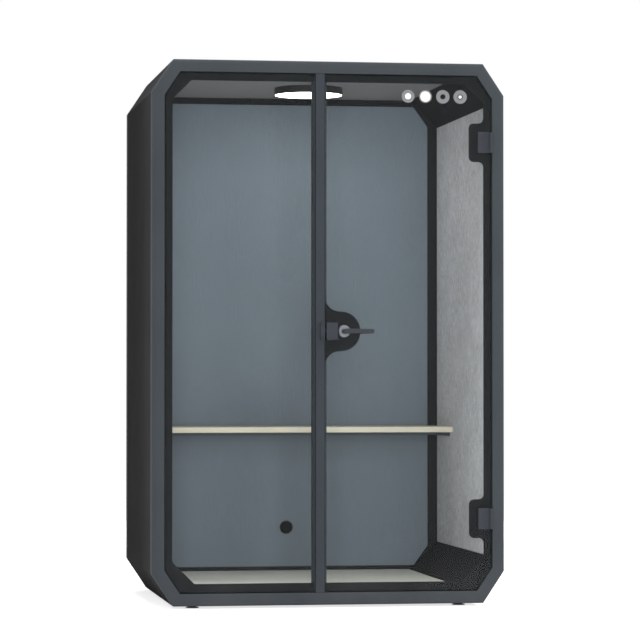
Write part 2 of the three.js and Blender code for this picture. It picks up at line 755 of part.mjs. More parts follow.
// Lock case on the glass, with a boss round the spindle, and the latch that slides in it.
function addLock() {
  const half = CASE_HEIGHT / 2;
  const [low, high] = [SPINDLE_Z - half, SPINDLE_Z + half];
  const seat = GLASS_RECESS - FIT;
  const box = prismY(roundedRectangle(CASE_LEFT, CASE_RIGHT, low, high, CASE_ROUND), -CASE_PROUD, seat);
  const [neckLow, neckHigh] = [SPINDLE_Z - NECK_HEIGHT / 2, SPINDLE_Z + NECK_HEIGHT / 2];
  const neck = block(CASE_RIGHT - CASE_ROUND, SPINDLE_X, -BOSS_PROUD, seat, neckLow, neckHigh);
  const boss = rodY(ROSETTE_RADIUS + BOSS_RIM, -BOSS_PROUD, seat).translate(SPINDLE_X, 0, SPINDLE_Z);
  const spindleBore = rodY(SPINDLE_HOLE, -CASE_PROUD, GLASS_BACK).translate(SPINDLE_X, 0, SPINDLE_Z);
  const tip = MULLION_RIGHT - KEEP_MARGIN + FIT;
  const channelEnd = tip + BOLT_LENGTH + BOLT_THROW + FIT;
  const channel = boltSpace(DOOR_EDGE, channelEnd, FIT);
  const body = cut(join(box, neck, boss), spindleBore, channel);
  pieceOn(door, "lock_case", body, FRAME_PAINT);

  const bolt = prismZ(
    polygon([
      [tip, BOLT_Y - BOLT_WIDTH / 2],
      [tip + BOLT_LENGTH, BOLT_Y - BOLT_WIDTH / 2],
      [tip + BOLT_LENGTH, BOLT_Y + BOLT_WIDTH / 2],
      [tip + BOLT_BEVEL, BOLT_Y + BOLT_WIDTH / 2],
      [tip, BOLT_Y + BOLT_WIDTH / 2 - BOLT_BEVEL],
    ]),
    SPINDLE_Z - BOLT_HEIGHT / 2,
    SPINDLE_Z + BOLT_HEIGHT / 2,
  );
  pieceOn(door, "latch_bolt", bolt, STEEL);

  const keepRight = MULLION_RIGHT - KEEP_MARGIN;
  const keepLeft = keepRight - KEEP_WIDTH;
  const keepBox = prismY(roundedRectangle(keepLeft, keepRight, low, high, HINGE_EASE), -CASE_PROUD, -FIT);
  const pocket = boltSpace(keepRight - BOLT_THROW - FIT, DOOR_EDGE, 2 * FIT);
  piece(booth, "latch_keep", cut(keepBox, pocket), FRAME_PAINT);

  const rose = (seatY, way) =>
    revolveY([
      [LEVER_NECK + LEVER_PLAY, 0],
      [ROSETTE_RADIUS, 0],
      [ROSETTE_RADIUS, ROSETTE / 2],
      [ROSETTE_RADIUS - ROSETTE / 2, ROSETTE],
      [LEVER_NECK + LEVER_PLAY, ROSETTE],
      [LEVER_NECK + LEVER_PLAY, 0],
    ])
      .rotateX(way < 0 ? Math.PI : 0)
      .translate(SPINDLE_X, seatY, SPINDLE_Z);
  pieceOn(door, "outer_rosette", rose(-BOSS_PROUD - FIT, -1), CHROME);
  pieceOn(door, "inner_rosette", rose(GLASS_BACK + FIT, 1), CHROME);
}

// Room for the latch bolt between two x places, wider than it by `play` on every side.
function boltSpace(from, to, play) {
  const y = BOLT_WIDTH / 2 + play;
  const z = BOLT_HEIGHT / 2 + play;
  return block(from, to, BOLT_Y - y, BOLT_Y + y, SPINDLE_Z - z, SPINDLE_Z + z);
}

// Lever bar that lies along +x from the spindle axis, about a middle plane at y.
function leverBar(y) {
  const stations = [
    [-LEVER_NECK, LEVER_END_HEIGHT, LEVER_END_THICK],
    [-LEVER_NECK / 2, LEVER_TIP_HEIGHT, LEVER_TIP_THICK],
    [LEVER_NECK, LEVER_HEIGHT, LEVER_THICK],
    [LEVER_LENGTH - LEVER_NECK / 2, LEVER_TIP_HEIGHT, LEVER_TIP_THICK],
    [LEVER_LENGTH, LEVER_END_HEIGHT, LEVER_END_THICK],
  ];
  const ring = ([x, height, thick]) => {
    const [h, t] = [height / 2, thick / 2];
    const bevel = t / 2;
    return [
      [x, y - t, -h + bevel],
      [x, y - t + bevel, -h],
      [x, y + t - bevel, -h],
      [x, y + t, -h + bevel],
      [x, y + t, h - bevel],
      [x, y + t - bevel, h],
      [x, y - t + bevel, h],
      [x, y - t, h - bevel],
    ];
  };
  return loft(stations.map(ring));
}

function addLevers() {
  const lever = new THREE.Group();
  lever.position.set(SPINDLE_X - HINGE_X, -HINGE_Y, SPINDLE_Z);
  door.add(lever);
  const barY = -HANDLE_PROUD + LEVER_THICK / 2;
  const innerY = GLASS_BACK + INNER_LEVER_REACH + LEVER_THICK / 2;
  const half = SPINDLE_SIDE / 2;
  const socketEnd = innerY - LEVER_THICK / 2;
  const spindle = block(-half, half, barY, socketEnd - FIT, -half, half);
  const outerNeck = rodY(LEVER_NECK, barY, -BOSS_PROUD - FIT);
  piece(lever, "outer_lever", join(leverBar(barY), outerNeck, spindle), PLASTIC);
  const innerNeck = rodY(LEVER_NECK, GLASS_BACK + FIT, innerY);
  const hole = half + FIT;
  const socket = block(-hole, hole, GLASS_BACK, socketEnd, -hole, hole);
  piece(lever, "inner_lever", cut(join(leverBar(innerY), innerNeck), socket), PLASTIC);
}

// Fittings inside the cabin

function addLamp() {
  const inner = LAMP_RADIUS - LAMP_WALL;
  const skirt = inner - FIT;
  const lamp = new THREE.Group();
  lamp.position.set(0, MIDDLE_Y, CABIN.high - FIT);
  booth.add(lamp);
  const housing = revolve(
    [
      [0, 0],
      [LAMP_RADIUS, 0],
      [LAMP_RADIUS, -LAMP_HEIGHT],
      [inner, -LAMP_HEIGHT],
      [inner, -LAMP_WALL],
      [0, -LAMP_WALL],
    ],
    2 * ROUND_STEPS,
  );
  piece(lamp, "lamp_housing", housing, PLASTIC);
  const boardTop = -LAMP_WALL - FIT;
  const board = revolve([
    [0, boardTop],
    [BOARD_RADIUS, boardTop],
    [BOARD_RADIUS, boardTop - BOARD],
    [0, boardTop - BOARD],
  ]);
  piece(lamp, "led_board", board, OPAL);
  const dome = (radius, rim) =>
    Array.from({ length: LAMP_DOME_STEPS + 1 }, (_, i) => {
      const share = i / LAMP_DOME_STEPS;
      return [radius * share, rim - LAMP_DOME * (1 - share * share)];
    });
  const rimTop = -LAMP_HEIGHT / 2;
  const diffuser = revolve(
    [
      ...dome(skirt, -LAMP_HEIGHT),
      [skirt, rimTop],
      [skirt - LAMP_WALL, rimTop],
      ...dome(skirt - LAMP_WALL, LAMP_WALL - LAMP_HEIGHT).reverse(),
    ],
    2 * ROUND_STEPS,
  );
  piece(lamp, "lamp_diffuser", diffuser, OPAL);
}

function addDesk() {
  const half = CABIN.half - FIT;
  const back = TRIM_Y - FIT;
  const front = back - DESK_DEPTH;
  const low = DESK_TOP_Z - DESK_BOARD;
  const section = roundedRectangle(front, back, low, DESK_TOP_Z, DESK_ROUND);
  piece(booth, "desktop", prismX(section, -half, half), OAK);
  const uShape = (leg) =>
    polygon([
      [-half, front + RAIL_SETBACK],
      [-half + leg, front + RAIL_SETBACK],
      [-half + leg, back - leg],
      [half - leg, back - leg],
      [half - leg, front + RAIL_SETBACK],
      [half, front + RAIL_SETBACK],
      [half, back],
      [-half, back],
    ]);
  const seat = low - FIT;
  const rail = join(
    prismZ(uShape(RAIL_LEG), seat - RAIL, seat),
    prismZ(uShape(RAIL), seat - RAIL_LEG, seat),
  );
  piece(booth, "desk_rail", rail, BLACK_PAINT);
}

function addSwitch() {
  const panel = new THREE.Group();
  panel.position.set(-CABIN.half + FIT, SWITCH_Y, SWITCH_Z);
  booth.add(panel);
  const side = SWITCH_SIDE / 2;
  const key = BUTTON_SIDE / 2;
  const hole = key + FIT;
  const pocketFloor = SWITCH_PROUD - BUTTON_DEPTH - BUTTON_TRAVEL - FIT;
  const plate = cut(
    prismX(roundedRectangle(-side, side, -side, side, SWITCH_ROUND), 0, SWITCH_PROUD),
    block(pocketFloor, 2 * SWITCH_PROUD, -hole, hole, -hole, hole),
  );
  piece(panel, "switch_plate", plate, PLASTIC);
  const button = prismX(
    roundedRectangle(-key, key, -key, key, SWITCH_ROUND / 2),
    SWITCH_PROUD - BUTTON_DEPTH,
    SWITCH_PROUD + BUTTON_PROUD,
  );
  piece(panel, "light_button", button, OPAL);
}

// Fans

function fanFrame() {
  const side = FAN_SIDE / 2;
  const outline = roundedRectangle(-side, side, -side, side, FAN_ROUND);
  outline.holes = [circle(0, 0, FAN_BORE)];
  const struts = Array.from({ length: FAN_STRUTS }, (_, i) =>
    block(0, FAN_BORE + FAN_STRUT, -FAN_STRUT / 2, FAN_STRUT / 2, 0, FAN_BACK).rotateZ(
      ((i + 0.5) * 2 * Math.PI) / FAN_STRUTS,
    ),
  );
  const motor = rodZ(HUB_RADIUS, 0, FAN_BACK + ROTOR_GAP / 2);
  const shaft = rodZ(SHAFT_RADIUS, 0, FAN_THICK - ROTOR_GAP - FAN_BACK);
  return join(prismZ(outline, 0, FAN_THICK), ...struts, motor, shaft);
}

// One twisted blade, lofted outwards from the hub through thin sloping sections wrapped round the axis.
function fanBlade(low, high) {
  const tip = FAN_BORE - BLADE_TIP_GAP;
  const root = HUB_RADIUS - BLADE;
  const rise = high - low;
  const rings = Array.from({ length: BLADE_STATIONS }, (_, i) => {
    const share = i / (BLADE_STATIONS - 1);
    const radius = root + (tip - root) * share;
    const pitch = THREE.MathUtils.degToRad(
      BLADE_ROOT_PITCH + (BLADE_TIP_PITCH - BLADE_ROOT_PITCH) * share,
    );
    const chord = Math.min(rise / Math.sin(pitch), (2 * Math.PI * radius) / BLADES) - 2 * BLADE;
    const along = [Math.cos(pitch) * (chord / 2), Math.sin(pitch) * (chord / 2)];
    const across = [-Math.sin(pitch) * (BLADE / 2), Math.cos(pitch) * (BLADE / 2)];
    return [
      [-1, -1],
      [1, -1],
      [1, 1],
      [-1, 1],
    ].map(([a, b]) => {
      const turn = (a * along[0] + b * across[0]) / radius;
      const z = (low + high) / 2 + a * along[1] + b * across[1];
      return [radius * Math.cos(turn), radius * Math.sin(turn), z];
    });
  });
  return loft(rings);
}

function fanRotor() {
  const low = FAN_BACK + ROTOR_GAP;
  const high = FAN_THICK - ROTOR_GAP;
  const hub = rodZ(HUB_RADIUS, low, high);
  const blades = Array.from({ length: BLADES }, (_, i) =>
    fanBlade(low, high).rotateZ((i * 2 * Math.PI) / BLADES),
  );
  const bore = rodZ(SHAFT_RADIUS + SHAFT_PLAY, 0, high - FAN_BACK + SHAFT_PLAY);
  return cut(join(hub, ...blades), bore);
}

function addFan(prefix, x) {
  const fan = new THREE.Group();
  fan.position.set(x, MIDDLE_Y, FAN_Z);
  booth.add(fan);
  piece(fan, prefix + "_fan_frame", fanFrame(), PLASTIC);
  piece(fan, prefix + "_fan_rotor", fanRotor(), PLASTIC);
}

addFrames();
addSkins();
addCores();
addLining();
addBackPanel();
addFloor();
addFeet();
addFront();
addDoorGlass();
addHinge("upper", HEIGHT - HINGE_DROP);
addHinge("lower", FOOT_GAP + HINGE_RISE);
addLock();
addLevers();
addLamp();
addDesk();
addSwitch();
addFan("left", -FAN_X);
addFan("right", FAN_X);

export default pod;
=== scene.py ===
# %% [markdown]
# Acoustic office pod, dressed for its portrait.
# A booth like this is a shell of painted sheet between two portal frames with cut corners. Its front is
# glass with a black printed border, and inside it is lined with felt board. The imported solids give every
# size, so each step below reads its places from the frame and only adds finish: edges, print, pile, screws
# and light.

# %% Load the frame
import math

import bmesh
import bpy
from mathutils import Matrix, Vector, noise
from mathutils.geometry import convex_hull_2d


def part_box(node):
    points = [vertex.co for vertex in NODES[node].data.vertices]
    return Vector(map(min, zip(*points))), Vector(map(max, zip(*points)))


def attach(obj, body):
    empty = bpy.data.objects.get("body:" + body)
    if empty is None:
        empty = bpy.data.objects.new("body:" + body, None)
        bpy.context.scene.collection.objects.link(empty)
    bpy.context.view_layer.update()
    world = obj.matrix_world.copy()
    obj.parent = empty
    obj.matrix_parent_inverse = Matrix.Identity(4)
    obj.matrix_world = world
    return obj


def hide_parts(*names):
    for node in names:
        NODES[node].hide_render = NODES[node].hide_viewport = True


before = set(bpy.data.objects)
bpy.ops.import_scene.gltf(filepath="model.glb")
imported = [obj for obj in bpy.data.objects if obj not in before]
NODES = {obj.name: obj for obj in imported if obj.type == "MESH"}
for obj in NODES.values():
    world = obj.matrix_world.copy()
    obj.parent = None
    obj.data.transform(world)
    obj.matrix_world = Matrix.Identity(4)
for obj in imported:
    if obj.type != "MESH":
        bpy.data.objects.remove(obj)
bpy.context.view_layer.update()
MM = 0.001

# %% [markdown]
# The camera stands well back with a long lens, a little left of the booth and at chest height, so the
# verticals stay upright and a thin strip of the left side shows. A long lens could be faked with an
# orthographic camera, but then the cabin's depth would not close in as it does in the picture.

# %% Camera
PHOTO_SIDE = 640
SENSOR = 36.0
FOCAL_PIXELS = 2974.0
CAMERA_PLACE = Vector((-1.981, -12.925, 0.964))
CAMERA_YAW = 0.1557
CAMERA_PITCH = 0.0196
CLIP_END = 200.0


def put_in_scene(thing):
    bpy.context.scene.collection.objects.link(thing)


def add_camera():
    data = bpy.data.cameras.new("camera")
    data.sensor_width = SENSOR
    data.lens = FOCAL_PIXELS * SENSOR / PHOTO_SIDE
    data.clip_end = CLIP_END
    camera = bpy.data.objects.new("camera", data)
    flat = math.cos(CAMERA_PITCH)
    ahead = Vector((math.sin(CAMERA_YAW) * flat, math.cos(CAMERA_YAW) * flat, math.sin(CAMERA_PITCH)))
    camera.location = CAMERA_PLACE
    camera.rotation_mode = "QUATERNION"
    camera.rotation_quaternion = ahead.to_track_quat("-Z", "Y")
    put_in_scene(camera)
    bpy.context.scene.camera = camera
    return data.lens


bpy.context.scene.view_settings.view_transform = "Standard"
print("lens in mm:", round(add_camera(), 1))

# %% [markdown]
# Materials are small node trees. A few helpers keep them short: `node` makes a node and fills its sockets
# with numbers or with other nodes' outputs, and the others make the nodes that come back again and again.
# Wiring each tree by hand would work too, but a finish is easier to read when one line is one node.

# %% Node helpers


def node(tree, kind, inputs=None, **settings):
    made = tree.nodes.new("ShaderNode" + kind)
    for key, value in settings.items():
        setattr(made, key, value)
    for key, value in (inputs or {}).items():
        if isinstance(value, bpy.types.NodeSocket):
            tree.links.new(value, made.inputs[key])
        else:
            made.inputs[key].default_value = value
    return made


def math_node(tree, operation, first, second=0.0, clamp=False):
    return node(tree, "Math", {0: first, 1: second}, operation=operation, use_clamp=clamp).outputs[0]


def weighed(tree, *parts):
    """The sum of some values, each times its share."""
    total = 0.0
    for value, share in parts:
        total = math_node(tree, "ADD", total, math_node(tree, "MULTIPLY", value, share))
    return total


def mixed(tree, factor, first, second, how="MIX"):
    values = {0: factor, 6: first, 7: second}
    return node(tree, "Mix", values, data_type="RGBA", blend_type=how).outputs[2]


def noise_node(tree, place, scale, detail=2.0, roughness=0.5):
    values = {"Vector": place, "Scale": scale, "Detail": detail, "Roughness": roughness}
    return node(tree, "TexNoise", values).outputs["Fac"]


def spread(tree, value, span, target=(0.0, 1.0)):
    values = {"Value": value, 1: span[0], 2: span[1], 3: target[0], 4: target[1]}
    return node(tree, "MapRange", values).outputs["Result"]


def object_place(tree):
    return node(tree, "TexCoord").outputs["Object"]


def stretched(tree, scale):
    return node(tree, "Mapping", {"Vector": object_place(tree), "Scale": scale}).outputs["Vector"]


def srgb(red, green, blue):
    """Linear light from three levels of 0 to 255, by the sRGB curve."""
    def linear(level):
        share = level / 255
        return share / 12.92 if share <= 0.04045 else ((share + 0.055) / 1.055) ** 2.4

    return (linear(red), linear(green), linear(blue), 1.0)


print("middle grey in linear light:", round(srgb(128, 128, 128)[0], 3))

# %% [markdown]
# A finish that several pieces share is a node group with named sockets, and each material holds its own
# shader beside it. `group` makes such a group, `effect` places it in a material, and `surface` starts the
# material. Copying the nodes into every material would look the same and be harder to change.

# %% Material helpers


def group(name, inputs, outputs):
    tree = bpy.data.node_groups.new(name, "ShaderNodeTree")
    for label, kind, value in inputs:
        socket = tree.interface.new_socket(name=label, in_out="INPUT", socket_type="NodeSocket" + kind)
        socket.default_value = value
    for label, kind in outputs:
        tree.interface.new_socket(name=label, in_out="OUTPUT", socket_type="NodeSocket" + kind)
    return tree, tree.nodes.new("NodeGroupInput").outputs, tree.nodes.new("NodeGroupOutput").inputs


def surface(name, **sockets):
    """A material with one Principled shader; sockets are named with underscores for spaces."""
    made = bpy.data.materials.new(name)
    made.use_nodes = True
    tree = made.node_tree
    shader = tree.nodes["Principled BSDF"]
    for key, value in sockets.items():
        shader.inputs[key.replace("_", " ")].default_value = value
    return made, tree, shader


def effect(tree, name, **inputs):
    made = tree.nodes.new("ShaderNodeGroup")
    made.node_tree = bpy.data.node_groups[name]
    for key, value in inputs.items():
        made.inputs[key].default_value = value
    return made.outputs


def bump(tree, shader, height, strength, depth):
    made = node(tree, "Bump", {"Height": height, "Strength": strength, "Distance": depth})
    tree.links.new(made.outputs["Normal"], shader.inputs["Normal"])


def show_instead(tree, share, shader, other):
    """Puts another shader in the Principled one's place, by a share of 0 to 1."""
    shown = node(tree, "MixShader", {0: share, 1: shader.outputs[0], 2: other}).outputs[0]
    tree.links.new(shown, tree.nodes["Material Output"].inputs["Surface"])


print("node groups before the first finish:", len(bpy.data.node_groups))

# %% [markdown]
# Powder coat is paint baked from dry powder. Close up it has a fine pebbled skin, and from a step away the
# tone drifts a little where the film is thicker. Floor dust greys the lowest hand's span. One group
# carries all three, because the frames, the sheets, the black covers and the cast hardware share the
# process and differ only in colour and grain. Plastic, rubber and film have the same fine skin.

# %% Powder coat
DUST = srgb(120, 118, 114)
DUST_TOP = 0.22
DUST_SHARE = 0.10
DRIFT_SCALE = 2.6
DRIFT_TONE = (0.93, 1.07)
GRIT = (-0.06, 0.06)
PEBBLE_DEPTH = 0.6 * MM


def powder_coat_group():
    tree, given, made = group(
        "powder_coat",
        [("Color", "Color", (0.1, 0.1, 0.1, 1.0)), ("Grain", "Float", 900.0), ("Roughness", "Float", 0.5)],
        [("Color", "Color"), ("Roughness", "Float"), ("Height", "Float")],
    )
    place = object_place(tree)
    pebbles = noise_node(tree, place, given["Grain"], roughness=0.55)
    drift = noise_node(tree, place, DRIFT_SCALE, detail=4.0, roughness=0.6)
    toned = mixed(tree, 1.0, given["Color"], spread(tree, drift, (0.3, 0.7), DRIFT_TONE), "MULTIPLY")
    height = node(tree, "SeparateXYZ", {0: place}).outputs["Z"]
    low = spread(tree, height, (0.0, DUST_TOP), (1.0, 0.0))
    settled = math_node(tree, "MULTIPLY", low, spread(tree, drift, (0.35, 0.65), (0.0, DUST_SHARE)))
    tree.links.new(mixed(tree, settled, toned, DUST), made["Color"])
    grit = spread(tree, pebbles, (0.3, 0.7), GRIT)
    tree.links.new(math_node(tree, "ADD", given["Roughness"], grit, True), made["Roughness"])
    tree.links.new(pebbles, made["Height"])


def painted(name, color, grain, roughness, pebble, specular):
    made, tree, shader = surface(name, Specular_IOR_Level=specular)
    coat = effect(tree, "powder_coat", Color=color, Grain=grain, Roughness=roughness)
    tree.links.new(coat["Color"], shader.inputs["Base Color"])
    tree.links.new(coat["Roughness"], shader.inputs["Roughness"])
    bump(tree, shader, coat["Height"], pebble, PEBBLE_DEPTH)
    return made


powder_coat_group()
# Colour, grain, roughness, strength of the pebbles and specular level.
FRAME_PAINT = painted("frame_powder_coat", srgb(59, 63, 67), 700.0, 0.65, 0.2, 0.08)
MULLION_PAINT = painted("mullion_powder_coat", srgb(54, 58, 63), 700.0, 0.65, 0.2, 0.06)
SKIN_PAINT = painted("sheet_powder_coat", srgb(60, 60, 61), 520.0, 0.9, 0.2, 0.0)
BLACK_PAINT = painted("black_powder_coat", srgb(27, 28, 31), 620.0, 0.75, 0.08, 0.03)
RAIL_PAINT = painted("rail_powder_coat", srgb(92, 99, 106), 620.0, 0.8, 0.1, 0.03)
HARDWARE_PAINT = painted("hardware_coat", srgb(54, 57, 62), 1400.0, 0.5, 0.1, 0.12)
LEVER_COAT = painted("lever_coat", srgb(54, 56, 60), 2200.0, 0.45, 0.05, 0.15)
PLASTIC = painted("moulded_plastic", srgb(38, 40, 43), 2600.0, 0.5, 0.18, 0.3)
RUBBER = painted("grommet_rubber", srgb(16, 16, 18), 1800.0, 0.75, 0.3, 0.05)
SEAL_RUBBER = painted("seal_rubber", srgb(58, 61, 65), 1800.0, 0.75, 0.1, 0.1)
FROSTED_FILM = painted("frosted_film", srgb(118, 119, 121), 3000.0, 0.7, 0.0, 0.1)
PRINT = painted("glass_print", srgb(21, 23, 26), 3000.0, 0.4, 0.0, 0.02)
GREY_PRINT = painted("grey_print", srgb(48, 52, 56), 3000.0, 0.4, 0.0, 0.02)
print("coats, rubbers and films:", len(bpy.data.materials))

# %% [markdown]
# Felt board is pressed polyester fibre in two or three greys. Its look is a heather: short streaks of
# lighter fibre on a darker ground, with a matt, slightly hairy face. A photographed texture would give it
# at once, but streaked noise does it without an image, and the same group serves the walls, the ceiling
# and the back with other greys. The ceiling is the walls' felt in darker greys, which is painted shade.

# %% Felt
ALONG_Z = (1.0, 1.0, 0.16)
ALONG_Y = (1.0, 0.2, 1.0)
NAP_DEPTH = 1.2 * MM


def felt_group():
    tree, given, made = group(
        "felt_fibre",
        [("Dark", "Color", (0.2, 0.2, 0.2, 1.0)), ("Light", "Color", (0.4, 0.4, 0.4, 1.0))],
        [("Color", "Color"), ("Height", "Float")],
    )
    place = object_place(tree)
    streaks = noise_node(tree, stretched(tree, ALONG_Z), 190.0, detail=3.0, roughness=0.6)
    cross = noise_node(tree, stretched(tree, ALONG_Y), 260.0, roughness=0.6)
    fuzz = noise_node(tree, place, 900.0, roughness=0.7)
    cloud = noise_node(tree, place, 7.0, detail=3.0)
    heather = weighed(tree, (streaks, 0.5), (cross, 0.22), (fuzz, 0.18), (cloud, 0.10))
    share = spread(tree, heather, (0.38, 0.62))
    tree.links.new(mixed(tree, share, given["Dark"], given["Light"]), made["Color"])
    tree.links.new(weighed(tree, (streaks, 0.6), (fuzz, 1.0)), made["Height"])


def felt(name, dark, light, nap):
    made, tree, shader = surface(
        name, Roughness=0.95, Specular_IOR_Level=0.1, Sheen_Weight=0.15, Sheen_Roughness=0.6)
    fibre = effect(tree, "felt_fibre", Dark=dark, Light=light)
    tree.links.new(fibre["Color"], shader.inputs["Base Color"])
    bump(tree, shader, fibre["Height"], nap, NAP_DEPTH)
    return made


felt_group()
WALL_FELT = felt("wall_felt", srgb(140, 139, 144), srgb(226, 225, 230), 0.5)
# The ceiling is the walls' felt in darker greys: the darkening is painted shade under the roof.
CEILING_FELT_PAINTED_SHADE = felt("ceiling_felt", srgb(96, 94, 98), srgb(122, 119, 125), 0.5)
BACK_FELT = felt("back_felt", srgb(98, 107, 116), srgb(112, 121, 131), 0.25)
WOOL = felt("fibre_fill", srgb(104, 104, 104), srgb(136, 136, 138), 0.8)
print("felts:", WALL_FELT.name, CEILING_FELT_PAINTED_SHADE.name, BACK_FELT.name, WOOL.name)

# %% [markdown]
# The desk is a light oak board and the hidden deck is plywood. Both are wood, so one group draws the
# figure: long bands that wander along the board, with short dark pores. The bands run along x, the long
# way of the desk.

# %% Wood
BAND_STRETCH = (0.10, 1.0, 1.0)
PORE_STRETCH = (0.03, 1.0, 1.0)
PORE_STRENGTH = 0.15
PORE_DEPTH = 0.4 * MM


def wood_group():
    tree, given, made = group(
        "wood_figure",
        [("Light", "Color", (0.6, 0.5, 0.4, 1.0)), ("Dark", "Color", (0.4, 0.3, 0.2, 1.0))],
        [("Color", "Color"), ("Roughness", "Float"), ("Height", "Float")],
    )
    along = stretched(tree, BAND_STRETCH)
    wander = noise_node(tree, along, 9.0, detail=4.0, roughness=0.55)
    bands = {"Vector": along, "Scale": 10.0, "Distortion": 9.0, "Detail": 3.0}
    rings = node(tree, "TexWave", bands, bands_direction="Y", wave_profile="SAW").outputs["Fac"]
    pores = noise_node(tree, stretched(tree, PORE_STRETCH), 700.0, roughness=0.7)
    pore = spread(tree, pores, (0.56, 0.72))
    figure = weighed(tree, (rings, 0.45), (wander, 0.55))
    board = mixed(tree, spread(tree, figure, (0.25, 0.8)), given["Light"], given["Dark"])
    pored = mixed(tree, math_node(tree, "MULTIPLY", pore, 0.35), board, given["Dark"])
    tree.links.new(pored, made["Color"])
    tree.links.new(spread(tree, figure, (0.0, 1.0), (0.42, 0.56)), made["Roughness"])
    tree.links.new(math_node(tree, "SUBTRACT", figure, pore), made["Height"])


def wooden(name, light, dark):
    made, tree, shader = surface(name, Specular_IOR_Level=0.3)
    figure = effect(tree, "wood_figure", Light=light, Dark=dark)
    tree.links.new(figure["Color"], shader.inputs["Base Color"])
    tree.links.new(figure["Roughness"], shader.inputs["Roughness"])
    bump(tree, shader, figure["Height"], PORE_STRENGTH, PORE_DEPTH)
    return made


wood_group()
OAK = wooden("light_oak", srgb(214, 208, 194), srgb(196, 186, 166))
PLYWOOD = wooden("plywood", srgb(196, 170, 130), srgb(160, 130, 92))
print("woods:", OAK.name, PLYWOOD.name)

# %% [markdown]
# The carpet is a pale, short loop pile. Its colour follows little round cells: painted shade darkens it
# between the loops, and the yarn varies in tone. Only one piece has it, so it needs no group.

# %% Carpet
YARN_DARK = srgb(206, 204, 196)
YARN_LIGHT = srgb(238, 236, 226)
LOOP_SHADE = srgb(116, 115, 110)
LOOP_STRENGTH = 0.7
LOOP_DEPTH = 2 * MM


def carpet_material():
    made, tree, shader = surface("carpet_pile", Roughness=1.0, Specular_IOR_Level=0.05, Sheen_Weight=0.2)
    place = object_place(tree)
    cells = {"Vector": place, "Scale": 260.0, "Randomness": 0.7}
    loops = node(tree, "TexVoronoi", cells).outputs["Distance"]
    yarn = noise_node(tree, place, 120.0, detail=3.0, roughness=0.7)
    worn = noise_node(tree, place, 4.0, detail=3.0)
    light = weighed(tree, (yarn, 0.8), (worn, 0.2))
    tone = mixed(tree, spread(tree, light, (0.35, 0.65)), YARN_DARK, YARN_LIGHT)
    # Painted shade between the loops, growing with the distance from each cell's middle.
    shaded = mixed(tree, spread(tree, loops, (0.3, 0.8), (0.0, 0.45)), tone, LOOP_SHADE)
    tree.links.new(shaded, shader.inputs["Base Color"])
    bump(tree, shader, math_node(tree, "SUBTRACT", 1.0, loops), LOOP_STRENGTH, LOOP_DEPTH)
    return made


CARPET = carpet_material()
print("carpet nodes:", len(CARPET.node_tree.nodes))

# %% [markdown]
# Bright metal is the rosette's chrome and the latch's brushed steel. Hands leave faint smears on both, and
# brushing leaves fine lines on the steel, so one group gives the marks and a socket says how much of the
# brushing shows.

# %% Bright metal
BRUSHED_ALONG = (1.0, 1.0, 0.02)
BRUSH_STRENGTH = 0.1
BRUSH_DEPTH = 0.2 * MM


def handling_group():
    tree, given, made = group(
        "handling_marks",
        [("Roughness", "Float", 0.2), ("Brushing", "Float", 1.0)],
        [("Roughness", "Float"), ("Height", "Float")],
    )
    smears = noise_node(tree, object_place(tree), 60.0, detail=4.0, roughness=0.6)
    lines = noise_node(tree, stretched(tree, BRUSHED_ALONG), 3000.0)
    brushed = math_node(tree, "MULTIPLY", lines, given["Brushing"])
    smeared = spread(tree, smears, (0.35, 0.7), (-0.04, 0.08))
    change = math_node(tree, "ADD", smeared, spread(tree, brushed, (0.0, 1.0), (0.0, 0.1)))
    tree.links.new(math_node(tree, "ADD", given["Roughness"], change, True), made["Roughness"])
    tree.links.new(brushed, made["Height"])


def bright_metal(name, color, roughness, brushing):
    made, tree, shader = surface(name, Base_Color=color, Metallic=1.0)
    marks = effect(tree, "handling_marks", Roughness=roughness, Brushing=brushing)
    tree.links.new(marks["Roughness"], shader.inputs["Roughness"])
    bump(tree, shader, marks["Height"], BRUSH_STRENGTH * brushing, BRUSH_DEPTH)
    return made


handling_group()
CHROME = bright_metal("rosette_chrome", srgb(150, 156, 163), 0.35, 0.0)
STEEL = bright_metal("latch_steel", srgb(48, 50, 53), 0.45, 1.0)
print("metals:", CHROME.name, STEEL.name)

# %% [markdown]
# Opal acrylic spreads the lamp's light, and unlit it is the white of the button. Glass is clear with a
# green edge: shadow rays and diffuse rays pass straight through it, which keeps the cabin as bright as it
# is behind a real pane. Its low index stands in for a coating against glare.

# %% Opal and glass
LAMP_STRENGTH = 13.0
OPAL_WARM = srgb(244, 241, 234)
OPAL_WHITE = srgb(252, 251, 247)
GLASS_TINT = srgb(252, 254, 253)
GLASS_EDGE = srgb(150, 196, 178)
GLASS_INDEX = 1.2


def opal(name, strength):
    made, tree, shader = surface(name, Roughness=0.35, Emission_Strength=strength)
    cloud = noise_node(tree, object_place(tree), 30.0, detail=3.0)
    color = mixed(tree, spread(tree, cloud, (0.3, 0.7)), OPAL_WARM, OPAL_WHITE)
    tree.links.new(color, shader.inputs["Base Color"])
    if strength:
        tree.links.new(color, shader.inputs["Emission Color"])
    return made


def clear_glass():
    made, tree, shader = surface("clear_glass", Roughness=0.0, IOR=GLASS_INDEX, Transmission_Weight=1.0)
    facing = node(tree, "SeparateXYZ", {0: node(tree, "TexCoord").outputs["Normal"]}).outputs["Y"]
    pane = spread(tree, math_node(tree, "ABSOLUTE", facing), (0.4, 0.6))
    color = mixed(tree, pane, GLASS_EDGE, GLASS_TINT)
    tree.links.new(color, shader.inputs["Base Color"])
    ray = node(tree, "LightPath").outputs
    passing = math_node(tree, "MAXIMUM", ray["Is Shadow Ray"], ray["Is Diffuse Ray"])
    through = node(tree, "BsdfTransparent", {"Color": color}).outputs[0]
    show_instead(tree, passing, shader, through)
    return made


LIT_OPAL = opal("lit_opal", LAMP_STRENGTH)
WHITE_ACRYLIC = opal("white_acrylic", 0.0)
GLASS = clear_glass()
print("materials:", len(bpy.data.materials))

